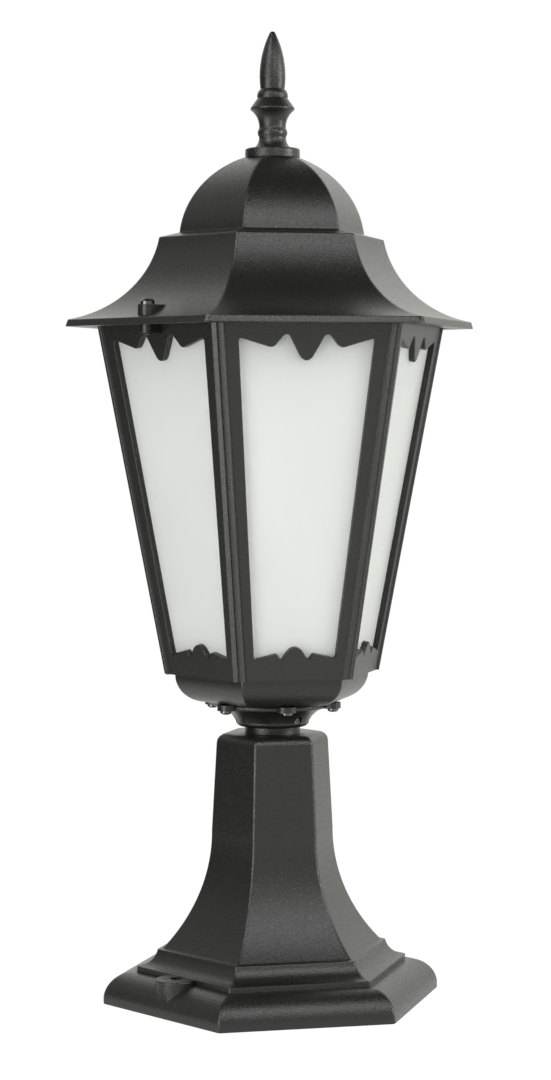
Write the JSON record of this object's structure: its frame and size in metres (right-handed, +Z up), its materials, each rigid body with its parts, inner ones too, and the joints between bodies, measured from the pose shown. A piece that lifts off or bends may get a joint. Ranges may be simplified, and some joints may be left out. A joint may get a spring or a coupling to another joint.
{
  "type": "garden post lamp",
  "caption": "Low garden post lamp: hexagonal cast lantern with frosted panes and a domed roof with a finial, on a flared hexagonal pedestal.",
  "frame": {"origin": "centre of the pedestal's underside, on the ground", "axes": "+Z up along the lamp's axis; X through two opposite corners of the hexagon; Y through two opposite faces"},
  "size_m": [0.2092, 0.1812, 0.482],
  "materials": {
    "charcoal_coat": "satin powder coat, fine grain",
    "frosted_glass": "satin white",
    "zinc_steel": "zinc plated",
    "dark_steel": "blackened, shiny",
    "spring_steel": "bright strip",
    "porcelain": "glazed",
    "shell_brass": "plain",
    "grey_rubber": "matte",
    "white_plastic": "matte"
  },
  "bodies": {
    "root": {"pedestal": "charcoal_coat", "neck_socket": "charcoal_coat", "neck_screws": "dark_steel", "bowl": "charcoal_coat", "bowl_screws": "dark_steel", "cable_grommet": "grey_rubber", "holder_strap": "zinc_steel", "strap_screws": "zinc_steel", "holder_nipple": "zinc_steel", "holder_nuts": "zinc_steel", "holder_body": "porcelain", "holder_shell": "shell_brass", "holder_contact": "shell_brass", "terminal_block": "white_plastic", "terminal_screws": "zinc_steel", "terminal_fixing_screw": "zinc_steel", "earth_screw": "shell_brass", "panel_foot_screws": "zinc_steel", "panel_head_screws": "zinc_steel", "top_ring": "charcoal_coat", "pane_clips": "spring_steel", "roof": "charcoal_coat", "roof_screws": "dark_steel", "finial": "charcoal_coat", "finial_bolt": "zinc_steel", "finial_washer": "zinc_steel", "side_panel_1": "charcoal_coat", "side_panel_2": "charcoal_coat", "side_panel_3": "charcoal_coat", "side_panel_4": "charcoal_coat", "side_panel_5": "charcoal_coat", "side_panel_6": "charcoal_coat", "pane_1": "frosted_glass", "pane_2": "frosted_glass", "pane_3": "frosted_glass", "pane_4": "frosted_glass", "pane_5": "frosted_glass", "pane_6": "frosted_glass"}
  },
  "joints": []
}
